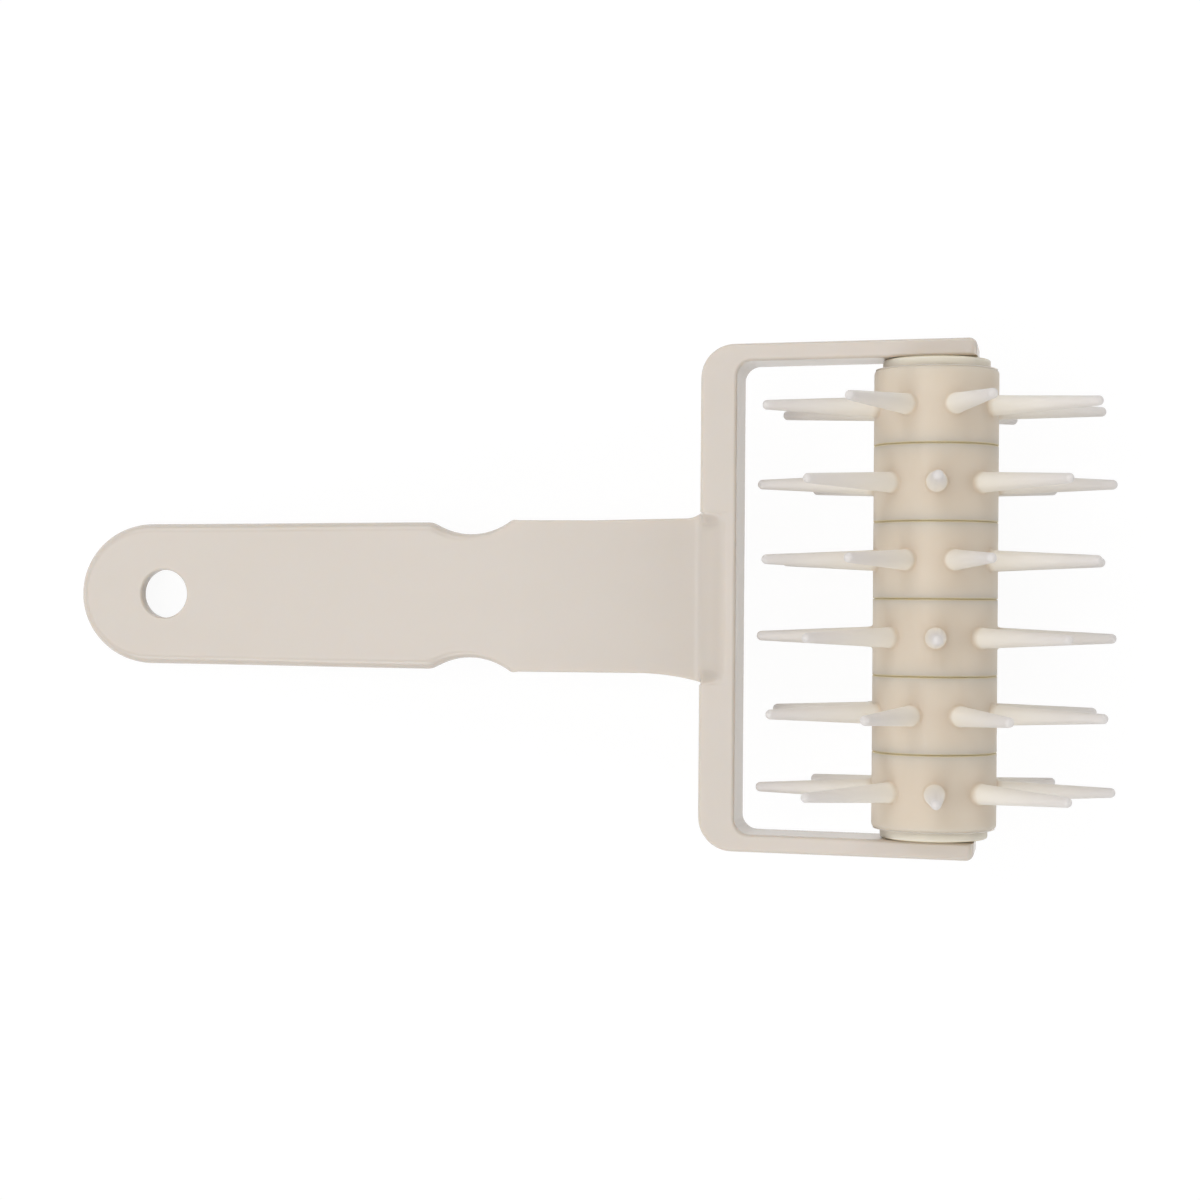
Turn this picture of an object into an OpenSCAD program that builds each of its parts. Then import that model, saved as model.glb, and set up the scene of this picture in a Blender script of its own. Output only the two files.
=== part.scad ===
// Dough docker: a roller of pinned rings that turns in the fork of a flat one-piece handle.
// The tool is drawn as it lies on a table, on the lowest pins and on the end of the handle.
// The roller's axis runs along Y, the handle points to -X, and the table is at Z = 0.
// "Tool frame" below means the handle's own axes, with the roller's axis at its origin,
// before the whole tool is tilted onto the table.

/* [Handle] */
// Distance from the roller's axis to the end of the handle
handle_reach = 185; // [140:0.1:240]
// Width of the grip at its round end
grip_end_w = 30.2; // [22:0.1:36]
// Width of the grip beside the finger notches
grip_root_w = 31.3; // [22:0.1:38]
// Width of the neck, between the finger notches and the bar
neck_w = 32.2; // [24:0.1:40]
// Thickness of the handle
strap_t = 4.2; // [3:0.1:6]
// Height of the grip's middle above the roller's axis, in the tool frame
grip_rise = 2.5; // [0:0.1:5]
// Slope of the neck where it leaves the grip
neck_slope_start = 3; // [0:0.1:6]
// Slope of the neck where it reaches the bar
neck_slope_end = 6; // [1:0.1:9]
// Distance from the roller's axis to the bend between grip and neck
bend_reach = 86.5; // [70:0.5:100]

/* [Finger notches] */
// Distance from the roller's axis to the deepest point of the notches
notch_reach = 97.2; // [92:0.5:120]
// Width left between the two notches
notch_waist = 26.1; // [20:0.1:28]
// Radius of the notches
notch_r = 15; // [8:0.1:20]

/* [Hang hole] */
// Diameter of the hang hole
hang_hole_d = 10.4; // [5:0.1:14]
// Distance from the end of the handle to the middle of the hang hole
hang_hole_inset = 19.4; // [15:0.1:30]

/* [Yoke] */
// Distance from the roller's axis to the inner face of the bar
bar_reach = 40.2; // [38:0.1:55]
// Thickness of the bar
bar_t = 7.5; // [5:0.1:12]
// Thickness of the arms
arm_t = 3.6; // [2.5:0.1:6]
// Height of the bar and the arms
yoke_h = 14; // [10:0.1:20]
// Length of the arms beyond the roller's axis
arm_overhang = 8.4; // [7:0.1:14]
// How much further out each arm stands at its end than at the bar
arm_flare = 0.55; // [0:0.05:1.5]
// Radius of the yoke's outer corners
outer_corner_r = 7; // [3:0.1:12]
// Radius of the yoke's inner corners
inner_corner_r = 3.2; // [1:0.1:8]
// Radius on the ends of the arms
arm_end_r = 1.6; // [0.5:0.1:1.7]
// Length over which the neck's upper edge widens at the bar
flare_upper_l = 3.6; // [2:0.1:12]
// How much the neck's upper edge widens at the bar
flare_upper_w = 1.5; // [0.5:0.05:1.9]
// Length over which the neck's lower edge widens at the bar
flare_lower_l = 13.5; // [4:0.1:20]
// How much the neck's lower edge widens at the bar
flare_lower_w = 1.9; // [0.5:0.05:3]
// Length of the hollow that runs from the neck's face up to the bar's top
hollow_l = 8; // [6:0.1:11]
// Width of the bar's top that stays level behind the hollow
bar_land = 2.8; // [1.5:0.1:4.5]
// Size of the fillet under the neck, at the bar's back
under_fillet = 3.5; // [1:0.1:4]

/* [Roller] */
// Diameter of the rings without their pins
drum_d = 25.3; // [23.5:0.1:32]
// Distance between the middles of neighbouring rings
ring_pitch = 15.6; // [12:0.1:20]
// Width of the seam between the rims of neighbouring rings
seam_w = 0.3; // [0.1:0.05:0.8]
// Depth of the seam
seam_depth = 1.8; // [0.5:0.1:2.5]
// Chamfer on the edges of rings and caps
edge_chamfer = 0.3; // [0.1:0.05:0.6]
// Outer diameter of the core tube
core_d = 15; // [13:0.1:17]
// Wall of the core tube
core_wall = 2; // [1:0.1:2.5]
// Diameter of the end caps' flanges
cap_d = 21.8; // [19:0.1:23]
// Thickness of the end caps' flanges
cap_t = 1.9; // [1.5:0.05:4]
// Length of the end caps' spigots inside the core tube
spigot_l = 7; // [5:0.1:14]

/* [Pins] */
// Number of pins round each ring
pin_count = 8; // [4:1:10]
// Distance from the roller's axis to the tips of the pins
pin_reach = 36.4; // [28:0.1:39]
// Diameter of a pin at the drum
pin_root_d = 4.2; // [2.2:0.1:5]
// Diameter of a pin behind its round tip
pin_tip_d = 2; // [1:0.1:3]
// Turn of rings 2, 4 and 6 from upright, towards the front
even_ring_turn = -7.6; // [-22:0.1:22]
// Turn of rings 1, 3 and 5 from upright, towards the front
odd_ring_turn = 9; // [-22:0.1:22]
// Further turn of ring 5, which was pushed on a little askew
fifth_ring_turn = 6; // [-6:0.1:6]

/* [Journals and fits] */
// Diameter of the stubs on the arms that the roller turns on
journal_d = 6; // [4:0.1:7]
// Length of the stubs
journal_l = 4.5; // [3:0.1:6]
// Gap between the journals and the bores of the caps, on the radius
running_clearance = 0.05; // [0.02:0.01:0.1]
// Gap between each end cap and its arm
end_play = 0.3; // [0.2:0.05:0.8]
// Gap between the end of each journal and the floor of its bore
journal_end_gap = 1; // [0.3:0.1:2]
// Gap round parts that are pushed together, on the radius
push_clearance = 0.03; // [0.01:0.01:0.1]

/* [Hidden] */
$fn = 96;

frame_colour = "#dcd3ca";
ring_colour = "#d6c9b8";
core_colour = "#cdbfa9";

ring_count = 6;
pin_facets = 24;
arc_steps = 8;
slack = 1;

// Roller, along its axis
drum_l = ring_count * ring_pitch;
pin_step = 360 / pin_count;
pin_tip_r = pin_tip_d / 2;
ring_turns = [odd_ring_turn, even_ring_turn, odd_ring_turn, even_ring_turn,
              odd_ring_turn + fifth_ring_turn, even_ring_turn];

// Yoke, in plan
bar_back = bar_reach + bar_t;
arm_inner_y = drum_l / 2 + cap_t + end_play;
arm_l = bar_reach + arm_overhang;
flare_slope = arm_flare / arm_l;

// Handle, from the side
strap_r = strap_t / 2;
neck_l = bend_reach - bar_back;
hollow_start = bend_reach - (bar_back - (bar_t - bar_land) + hollow_l);

// How far the nearest pin of a ring stands off a direction, both measured from upright
function pin_offset(turn, direction) =
    let (over = (direction - turn) % pin_step)
    let (ahead = over < 0 ? over + pin_step : over)
    min(ahead, pin_step - ahead);

// How far the pins reach from the roller's axis in a direction measured from upright
function pin_extent(direction) =
    pin_tip_r + (pin_reach - pin_tip_r)
    * max([for (turn = ring_turns) cos(pin_offset(turn, direction))]);

// Pose on the table: the round end of the handle and the lowest pin both touch Z = 0
axle_h = pin_extent(180);
end_arm = norm([handle_reach - strap_r, grip_rise]);
tilt = asin((axle_h - strap_r) / end_arm) + atan2(grip_rise, handle_reach - strap_r);
handle_extent = (handle_reach - strap_r) * cos(tilt) + grip_rise * sin(tilt) + strap_r;
axle_x = (handle_extent - pin_extent(90)) / 2;

// Points of a round arc, from one angle to another
function arc(centre, radius, start, end) =
    [for (i = [0:arc_steps]) let (a = start + (end - start) * i / arc_steps)
        centre + radius * [cos(a), sin(a)]];

// Points of a curve that starts level along X and bends away by rise over length
function easing(from, length, rise) =
    [for (i = [0:arc_steps]) let (share = i / arc_steps)
        from + [length * share, rise * share * share]];

// Height of the neck's middle at a distance along it from the bend
function neck_z(along) =
    grip_rise - along * tan(neck_slope_start)
    - along * along * (tan(neck_slope_end) - tan(neck_slope_start)) / (2 * neck_l);

// The handle seen from above, from its round end to the level part of the bar's top
module handle_plan() {
    upper_edge = easing([-bar_back - flare_upper_l, neck_w / 2], flare_upper_l, flare_upper_w);
    lower_edge = easing([-bar_back - flare_lower_l, -neck_w / 2], flare_lower_l, -flare_lower_w);
    end_r = grip_end_w / 2;
    translate([-handle_reach + end_r, 0])
        circle(r = end_r);
    difference() {
        union() {
            polygon([[-handle_reach + end_r, -end_r], [-notch_reach, -grip_root_w / 2],
                     [-notch_reach, grip_root_w / 2], [-handle_reach + end_r, end_r]]);
            polygon(concat(
                [[-notch_reach, -neck_w / 2]],
                lower_edge,
                [[-bar_reach - bar_land, -neck_w / 2 - flare_lower_w],
                 [-bar_reach - bar_land, neck_w / 2 + flare_upper_w]],
                [for (i = [len(upper_edge) - 1:-1:0]) upper_edge[i]],
                [[-notch_reach, neck_w / 2]]));
        }
        for (side = [-1, 1])
            translate([-notch_reach, side * (notch_waist / 2 + notch_r)])
                circle(r = notch_r);
    }
}

// The handle seen from the side: a level grip with a round end, a sloping neck, and the
// hollow that rises from the neck to the bar's top
module handle_side() {
    hollow_z = neck_z(hollow_start) + strap_r;
    fillet_start = neck_l - under_fillet;
    fillet_z = neck_z(fillet_start) - strap_r;
    fillet = easing([fillet_start - bend_reach, fillet_z], under_fillet, -under_fillet);
    polygon(concat(
        arc([-handle_reach + strap_r, grip_rise], strap_r, 270, 90),
        [for (i = [0:arc_steps]) let (along = hollow_start * i / arc_steps)
            [along - bend_reach, neck_z(along) + strap_r]],
        easing([hollow_start - bend_reach, hollow_z], hollow_l, yoke_h / 2 - hollow_z),
        [[-bar_reach - bar_land, fillet_z - under_fillet]],
        [for (i = [arc_steps:-1:0]) fillet[i]],
        [for (i = [arc_steps - 1:-1:0]) let (along = fillet_start * i / arc_steps)
            [along - bend_reach, neck_z(along) - strap_r]]));
}

// The yoke seen from above: a bar with round corners and two arms that stand slightly apart
module yoke_plan() {
    outer_root_y = arm_inner_y + arm_t - flare_slope * bar_reach;
    outer_end_y = outer_root_y + arm_flare;
    inner_root_y = outer_root_y - arm_t;
    inner_end_y = outer_end_y - arm_t;
    for (side = [0, 1])
        mirror([0, side])
            polygon(concat(
                [[-bar_back, 0]],
                arc([-bar_back + outer_corner_r, outer_root_y - outer_corner_r],
                    outer_corner_r, 180, 90),
                arc([arm_overhang - arm_end_r, outer_end_y - arm_end_r], arm_end_r, 90, 0),
                [[arm_overhang, inner_end_y]],
                arc([-bar_reach + inner_corner_r, inner_root_y - inner_corner_r],
                    inner_corner_r, 90, 180),
                [[-bar_reach, 0]]));
}

// The bar and the arms, with the ends of the arms rounded as seen from the side
module yoke() {
    half_y = arm_inner_y + arm_t + arm_flare + slack;
    intersection() {
        linear_extrude(height = yoke_h, center = true)
            yoke_plan();
        rotate([90, 0, 0])
            linear_extrude(height = 2 * half_y, center = true)
                polygon(concat(
                    [[-bar_back - slack, -yoke_h / 2]],
                    arc([arm_overhang - arm_end_r, -yoke_h / 2 + arm_end_r], arm_end_r, 270, 360),
                    arc([arm_overhang - arm_end_r, yoke_h / 2 - arm_end_r], arm_end_r, 0, 90),
                    [[-bar_back - slack, yoke_h / 2]]));
    }
}

// The space in the bar's top that the neck and its hollow fill
module hollow_space() {
    floor_z = neck_z(neck_l);
    translate([-bar_back - slack, -neck_w / 2 - flare_lower_w, floor_z])
        cube([bar_t - bar_land + slack, neck_w + flare_upper_w + flare_lower_w,
              yoke_h / 2 - floor_z + slack]);
}

// Puts a piece of the tool frame where the tool lies on the table
module lying() {
    translate([axle_x, 0, axle_h])
        rotate([0, -tilt, 0])
            children();
}

// Handle, bar, arms and journals: one moulding
module frame_handle() {
    color(frame_colour)
        lying() {
            difference() {
                union() {
                    difference() {
                        yoke();
                        hollow_space();
                    }
                    intersection() {
                        linear_extrude(height = 2 * yoke_h, center = true)
                            handle_plan();
                        rotate([90, 0, 0])
                            linear_extrude(height = 2 * neck_w, center = true)
                                handle_side();
                    }
                }
                translate([-handle_reach + hang_hole_inset, 0, grip_rise])
                    cylinder(d = hang_hole_d, h = strap_t + 2 * slack, center = true);
            }
            for (side = [-1, 1])
                translate([0, side * (arm_inner_y + arm_t / 2), 0])
                    rotate([side * 90, 0, 0])
                        cylinder(d = journal_d, h = arm_t / 2 + journal_l);
        }
}

// Places a piece that is drawn round the Z axis on the roller's axis, at a distance along it
module on_roller(y, turn = 0) {
    translate([axle_x, y, axle_h])
        rotate([0, turn, 0])
            rotate([-90, 0, 0])
                children();
}

// Plain tube inside the rings, as long as they are together
module roller_core() {
    color(core_colour)
        on_roller(0)
            difference() {
                cylinder(d = core_d, h = drum_l, center = true);
                cylinder(d = core_d - 2 * core_wall, h = drum_l + 2 * slack, center = true);
            }
}

// One tapered pin along Z with a round tip, rooted in the middle of the ring's wall
module pin() {
    root_z = (drum_d + core_d) / 4;
    rotate_extrude($fn = pin_facets)
        polygon(concat(
            [[0, root_z], [pin_root_d / 2, root_z], [pin_root_d / 2, drum_d / 2]],
            arc([0, pin_reach - pin_tip_r], pin_tip_r, 0, 90)));
}

// One ring: neighbours bear on each other near the core and leave a narrow seam at the rim
module pin_ring(number) {
    y = ((ring_count + 1) / 2 - number) * ring_pitch;
    bore_r = core_d / 2 + push_clearance;
    land_r = drum_d / 2 - seam_depth;
    rim_half = (ring_pitch - seam_w) / 2;
    color(ring_colour) {
        on_roller(y, ring_turns[number - 1]) {
            rotate_extrude()
                polygon([[bore_r, -ring_pitch / 2], [land_r, -ring_pitch / 2],
                         [land_r, -rim_half], [drum_d / 2 - edge_chamfer, -rim_half],
                         [drum_d / 2, -rim_half + edge_chamfer],
                         [drum_d / 2, rim_half - edge_chamfer],
                         [drum_d / 2 - edge_chamfer, rim_half], [land_r, rim_half],
                         [land_r, ring_pitch / 2], [bore_r, ring_pitch / 2]]);
            for (i = [0:pin_count - 1])
                rotate([90, 0, i * pin_step])
                    pin();
        }
    }
}

// Flange, spigot and blind journal bore of one end of the roller
module end_cap(side) {
    bore_r = journal_d / 2 + running_clearance;
    bore_depth = journal_l - end_play + journal_end_gap;
    spigot_r = core_d / 2 - core_wall - push_clearance;
    color(ring_colour)
        translate([axle_x, side * (drum_l / 2 + cap_t), axle_h])
            rotate([side * 90, 0, 0])
                rotate_extrude()
                    polygon([[bore_r, 0], [cap_d / 2 - edge_chamfer, 0],
                             [cap_d / 2, edge_chamfer], [cap_d / 2, cap_t],
                             [spigot_r, cap_t], [spigot_r, cap_t + spigot_l],
                             [0, cap_t + spigot_l], [0, bore_depth], [bore_r, bore_depth]]);
}

frame_handle();
roller_core();
pin_ring(1);  // pin_ring_1
pin_ring(2);  // pin_ring_2
pin_ring(3);  // pin_ring_3
pin_ring(4);  // pin_ring_4
pin_ring(5);  // pin_ring_5
pin_ring(6);  // pin_ring_6
end_cap(1);  // end_cap_upper
end_cap(-1);  // end_cap_lower
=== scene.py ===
# %% [markdown]
# # A dough docker: a pinned roller in the fork of a flat plastic handle
#
# The tool lies on a table and is seen from straight above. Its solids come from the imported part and
# are exact in size. This lesson dresses them: it models the frame, the rings and the end caps again
# with the soft edges that moulded plastic has, and gives every piece the look of its own plastic.

# %% Load the solids
import math

import bmesh
import bpy
from mathutils import Matrix, Vector


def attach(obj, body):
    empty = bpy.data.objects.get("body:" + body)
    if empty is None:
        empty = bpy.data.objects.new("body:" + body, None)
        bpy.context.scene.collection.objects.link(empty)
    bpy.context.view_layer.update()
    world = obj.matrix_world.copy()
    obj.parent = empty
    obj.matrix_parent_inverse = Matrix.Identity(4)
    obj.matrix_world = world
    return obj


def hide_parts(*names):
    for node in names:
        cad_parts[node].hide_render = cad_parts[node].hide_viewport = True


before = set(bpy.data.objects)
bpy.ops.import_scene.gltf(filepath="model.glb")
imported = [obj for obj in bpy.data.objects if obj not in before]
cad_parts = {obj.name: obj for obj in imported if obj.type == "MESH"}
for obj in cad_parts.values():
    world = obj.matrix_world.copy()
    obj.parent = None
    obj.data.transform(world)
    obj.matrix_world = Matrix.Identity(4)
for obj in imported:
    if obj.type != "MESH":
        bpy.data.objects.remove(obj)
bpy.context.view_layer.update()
bpy.ops.object.select_all(action="DESELECT")
print("solids:", ", ".join(sorted(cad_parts)))

# %% [markdown]
# ## The numbers that everything shares
#
# Blender measures in metres, and the tool is easier to think of in millimetres, so every size below
# is in millimetres and is multiplied by MM where it is used. The frame is modelled in its own
# straight axes, with the roller's axle at the origin, the handle along -X and the arms along +X. The
# real tool lies tilted, on its lowest pins and on the end of its handle, so a finished piece of the
# frame is turned by TILT and lifted to the AXLE.

# %% Shared numbers
MM = 0.001
TILT = math.radians(11.4919)
AXLE = Vector((72.8712, 0, 36.089)) * MM
print("axle in mm:", [round(value / MM, 2) for value in AXLE])


def choose(piece):
    """Selects one piece, makes it the active one, and deselects all others."""
    bpy.ops.object.select_all(action="DESELECT")
    piece.select_set(True)
    bpy.context.view_layer.objects.active = piece


def apply_place(piece):
    """Moves a piece's place from its object into its mesh, so that the object sits at the origin."""
    choose(piece)
    bpy.ops.object.transform_apply(location=True, rotation=True, scale=True)


def lay_down(piece):
    """Puts a piece that was modelled in the frame's straight axes where the tool lies."""
    piece.matrix_world = Matrix.Translation(AXLE) @ Matrix.Rotation(-TILT, 4, "Y")
    apply_place(piece)


# %% [markdown]
# ## The camera
#
# The photograph was taken from straight above, with the lens over the middle of the tool: the
# roller's arms and pins splay away from there, which a longer lens would hardly show. The camera
# hangs half a metre over the table, and is turned by less than half a degree. The frame is moved by
# one of its 1200 pixels.

# %% Camera
CAMERA_PLACE = (4.35, -0.9, 503.6)
CAMERA_TURN = math.radians(0.42)
SENSOR_WIDTH = 36
FOCAL_LENGTH = 68.58
FRAME_PIXELS = 1200

bpy.ops.object.camera_add(location=Vector(CAMERA_PLACE) * MM, rotation=(0, 0, CAMERA_TURN))
camera = bpy.context.object
camera.name = "camera_overhead"
camera.data.sensor_width = SENSOR_WIDTH
camera.data.lens = FOCAL_LENGTH
camera.data.shift_y = 1 / FRAME_PIXELS
camera.data.clip_start = 10 * MM
bpy.context.scene.camera = camera
print("the lens sees", round(math.degrees(camera.data.angle), 1), "degrees")

# %% [markdown]
# ## Helpers for working as by hand
#
# With no window there is no mouse, so parts of a mesh are selected by a test on their place or
# direction. `pick` does what clicking does. `draw` does what pressing E from vertex to vertex and
# then F does: it draws an outline and fills it. `combine` does what a Boolean modifier does, and
# applies it.


# %% Select and draw
def edit(piece):
    """Opens one piece in edit mode with nothing selected."""
    choose(piece)
    bpy.ops.object.mode_set(mode="EDIT")
    bpy.ops.mesh.select_all(action="DESELECT")


def pick(kind, test):
    """Selects the vertices, edges or faces that pass a test, and nothing else."""
    bpy.ops.mesh.select_mode(type=kind)
    bpy.ops.mesh.select_all(action="DESELECT")
    shape = bmesh.from_edit_mesh(bpy.context.edit_object.data)
    parts = {"VERT": shape.verts, "EDGE": shape.edges, "FACE": shape.faces}[kind]
    found = [part for part in parts if test(part)]
    for part in found:
        part.select_set(True)
    shape.select_flush_mode()
    bmesh.update_edit_mesh(bpy.context.edit_object.data)
    return len(found)


def draw(name, points):
    """Draws a closed outline through points in millimetres and fills it with one face."""
    bpy.ops.object.select_all(action="DESELECT")
    bpy.ops.mesh.primitive_plane_add(size=MM)
    piece = bpy.context.object
    piece.name = name
    bpy.ops.object.mode_set(mode="EDIT")
    bpy.ops.mesh.select_mode(type="VERT")
    bpy.ops.mesh.select_all(action="SELECT")
    bpy.ops.mesh.merge(type="CENTER")
    bpy.ops.transform.translate(value=Vector(points[0]) * MM)
    for here, there in zip(points, points[1:]):
        step = (Vector(there) - Vector(here)) * MM
        bpy.ops.mesh.extrude_vertices_move(TRANSFORM_OT_translate={"value": step})
    bpy.ops.mesh.select_all(action="SELECT")
    bpy.ops.mesh.edge_face_add()
    return piece


def arc(x, y, radius, start, end, steps):
    """Points along a round arc in plan, in millimetres and degrees."""
    turns = [math.radians(start + (end - start) * i / steps) for i in range(steps + 1)]
    return [(x + radius * math.cos(a), y + radius * math.sin(a), 0) for a in turns]


def finish_modifiers(piece):
    """Applies a piece's modifiers from top to bottom."""
    choose(piece)
    for modifier in list(piece.modifiers):
        bpy.ops.object.modifier_apply(modifier=modifier.name)


def combine(piece, other, operation):
    """Adds another solid to a piece, or cuts it out, and removes the other solid."""
    step = piece.modifiers.new(operation, "BOOLEAN")
    step.operation = operation
    step.solver = "EXACT"
    step.object = other
    finish_modifiers(piece)
    bpy.data.objects.remove(other)


# %% [markdown]
# ## The handle, as a loft
#
# The handle is one strap, 4.2 mm thick. Its outline changes all the way along: a round end, straight
# sides, a finger notch on each side, a neck that dips and widens, and a hollow that rises to the top
# of the yoke's bar. A plank could be cut to this outline, but then the slopes would be missing. So
# the strap is grown from the bar as a loft: a small block is extruded section by section, and each
# new end is moved and scaled to its own width, height and thickness.
#
# First the outline. Each notch is an arc of 15 mm radius. On the side of the palm a small arc leads
# softly into it, and on the side of the neck it ends in a shoulder. Each side draws in by 0.4 mm on
# the way to the round end, and that end is drawn out by 1 mm, so it is a little longer than a half
# circle. The outline stops a hair before the tip, because a loft can't end in a point.

# %% Handle outline
GRIP_Z = 2.5
STRAP = 4.2
STRAP_END = -185
END_HALF = 15.15
END_LENGTH = 16.1
LAST_TURN = 176.4
ROOT_HALF = 15.58
GRIP_SIDE = [(-125, 15.46, 0), (-147, 15.27, 0)]
NECK_HALF = 16.1
NOTCH = (-97.2, 28.05)
NOTCH_R = 15
PALM_R = 4.5

shoulder_x = NOTCH[0] + math.sqrt(NOTCH_R**2 - (NOTCH[1] - NECK_HALF) ** 2)
shoulder_turn = -math.degrees(math.asin((NOTCH[1] - NECK_HALF) / NOTCH_R))
palm_rise = NOTCH[1] - (ROOT_HALF - PALM_R)
palm_x = NOTCH[0] - math.sqrt((NOTCH_R + PALM_R) ** 2 - palm_rise**2)
palm_turn = math.degrees(math.atan2(palm_rise, NOTCH[0] - palm_x))
edge = arc(NOTCH[0], NOTCH[1], NOTCH_R, shoulder_turn, palm_turn - 180, 14)[:-1]
edge += arc(palm_x, ROOT_HALF - PALM_R, PALM_R, palm_turn, 90, 6)
edge += GRIP_SIDE
edge += [(x * END_LENGTH / END_HALF + STRAP_END + END_LENGTH, y, 0)
         for x, y, _ in arc(0, 0, END_HALF, 90, LAST_TURN, 24)]
print("points along the grip's edge:", len(edge))

# %% [markdown]
# Then the heights of the sections. The neck slopes 3 degrees at the bend and 6 at the bar. In the
# hollow its upper face swings up to the bar's top, 7 mm over the axle, along a parabola with a soft
# start and a soft crest. Its lower face ends in a fillet against the bar's back.

# %% Heights along the neck
BEND = -86.5
BAR_BACK = -47.7
BEND_SLOPE = 0.052408
SLOPE_GAIN = 0.00067907
UNDER_FILLET = 3.5

HOLLOW = -51.0
SWING_START = 1.7
SWING_END = 4.7
CREST_RUN = 6.8
HOLLOW_RUN = 8
CREST_END = -42.1
YOKE_TOP = 7
CREST_TOP = 6.995
SWING_SLOPE = -0.1
CREST_SLOPE = 0.02


def neck_middle(x):
    """Height of the strap's middle along the neck."""
    along = x - BEND
    return GRIP_Z - BEND_SLOPE * along - SLOPE_GAIN * along**2


def ease(x, start, start_height, start_slope, end, end_height, end_slope):
    """A smooth curve between two heights that leaves and arrives with the given slopes."""
    length = end - start
    t = (x - start) / length
    leave = start_height * (2 * t**3 - 3 * t**2 + 1) + start_slope * length * (t**3 - 2 * t**2 + t)
    return leave + end_height * (3 * t**2 - 2 * t**3) + end_slope * length * (t**3 - t**2)


def top_of(x):
    """Height of the strap's upper face: the neck, the hollow's rise and its soft crest."""
    start, end, crest = HOLLOW + SWING_START, HOLLOW + SWING_END, HOLLOW + CREST_RUN
    floor = neck_middle(HOLLOW) + STRAP / 2
    steepness = (YOKE_TOP - floor) / HOLLOW_RUN**2
    if x <= start:
        return neck_middle(x) + STRAP / 2
    if x <= end:
        return ease(x, start, neck_middle(start) + STRAP / 2, SWING_SLOPE,
                    end, floor + steepness * SWING_END**2, 2 * SWING_END * steepness)
    if x <= crest:
        return floor + steepness * (x - HOLLOW) ** 2
    return ease(min(x, CREST_END), crest, floor + steepness * CREST_RUN**2, 2 * CREST_RUN * steepness,
                CREST_END, CREST_TOP, CREST_SLOPE)


def bottom_of(x):
    """Height of the strap's lower face, with the fillet under the neck."""
    start = BAR_BACK - UNDER_FILLET
    drop = UNDER_FILLET * min(1, max(0, (x - start) / UNDER_FILLET)) ** 2
    return neck_middle(min(x, start)) - STRAP / 2 - drop


print("neck's top and bottom at the bar's back:", round(top_of(BAR_BACK), 2), round(bottom_of(BAR_BACK), 2))

# %% [markdown]
# Now the widths, and the sections from the bar to the round end. The neck's lower edge flares over
# 13.5 mm and its upper edge over 3.6 mm, and both end in a small fillet against the bar. The two
# edges don't match on the real tool: the lower one runs a little further in, and the upper one leans
# out by half a millimetre on its way to the bar. Within the bar the loft is kept wider than the
# hollow, so that its sides are buried. The sections stand closest where the shape turns most.

# %% Handle sections
UPPER_FLARE = (3.6, 1.5)
LOWER_FLARE = (13.5, 1.9)
BURIED = 1.2
NECK_FILLET = 0.7
STEEPEST = 0.97
UPPER_IN = 0.12
LOWER_IN = 0.22
LEAN = 0.55
LEAN_FROM = 0.4


def flare(x, length, width):
    """How much one edge of the neck has widened, with its fillet against the bar."""
    share = max(0, 1 - (BAR_BACK - x) / length)
    close = min(STEEPEST, max(0, 1 - (BAR_BACK - x) / NECK_FILLET))
    return width * share**2 + NECK_FILLET * (1 - math.sqrt(1 - close**2))


def widening(x, length, width):
    """The flare behind the bar's back, and the buried width in front of it."""
    return width + BURIED if x > BAR_BACK else flare(x, length, width)


neck_stations = [-41.9, -42.1, -42.4, -42.7, -43.0, -43.3, -43.7, -44.2, -44.8, -45.4, -46.0, -46.6]
neck_stations += [-47.2, -47.69, -47.76, -47.84, -47.95, -48.1, -48.3, -48.7, -49.2, -49.7, -50.2, -50.7]
neck_stations += [HOLLOW] + [-51.2 - 0.8 * i for i in range(13)] + [-63.5 - 2.2 * i for i in range(10)]
neck_stations += [-85, BEND]
sections = []
for x in neck_stations:
    along_neck = min(1, (x - BEND) / (BAR_BACK - BEND))
    lean_out = -UPPER_IN + LEAN * max(0, along_neck - LEAN_FROM) / (1 - LEAN_FROM)
    upper = NECK_HALF + lean_out + widening(x, *UPPER_FLARE)
    lower = NECK_HALF - LOWER_IN + widening(x, *LOWER_FLARE)
    sections.append((x, upper, lower, top_of(x), bottom_of(x)))
for x, half, _ in edge:
    sections.append((x, half, half, GRIP_Z + STRAP / 2, GRIP_Z - STRAP / 2))
print("sections along the handle:", len(sections))

# %% [markdown]
# The loft starts from a thin block inside the bar. Its back face is extruded to the next section's
# place and scaled to that section's size, and so on to the round end.

# %% Grow the handle
FIRST_BLOCK = 0.5


def size_and_middle(section):
    """A section's width and height in millimetres, and its middle in metres."""
    x, upper, lower, top, bottom = section
    return (upper + lower, top - bottom), Vector((x, (upper - lower) / 2, (top + bottom) / 2)) * MM


(width, height), middle = size_and_middle(sections[0])
bpy.ops.mesh.primitive_cube_add(
    size=MM, location=middle + Vector((FIRST_BLOCK / 2 * MM, 0, 0)), scale=(FIRST_BLOCK, width, height))
handle = bpy.context.object
handle.name = "docker_frame"
apply_place(handle)
edit(handle)
pick("FACE", lambda face: face.normal.x < -0.9)
for section in sections[1:]:
    size_before, middle_before = (width, height), middle
    (width, height), middle = size_and_middle(section)
    bpy.ops.mesh.extrude_region_move(TRANSFORM_OT_translate={"value": middle - middle_before})
    stretch = (1, width / size_before[0], height / size_before[1])
    bpy.ops.transform.resize(value=stretch, center_override=middle)
print("the loft ends", round(-sections[-1][0], 1), "mm behind the axle")

# %% [markdown]
# The grip's flat faces came out in strips. They are dissolved into one face above and one below, so
# that they shade as the flat faces they are. Then the hang hole is cut with a cylinder.

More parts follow.
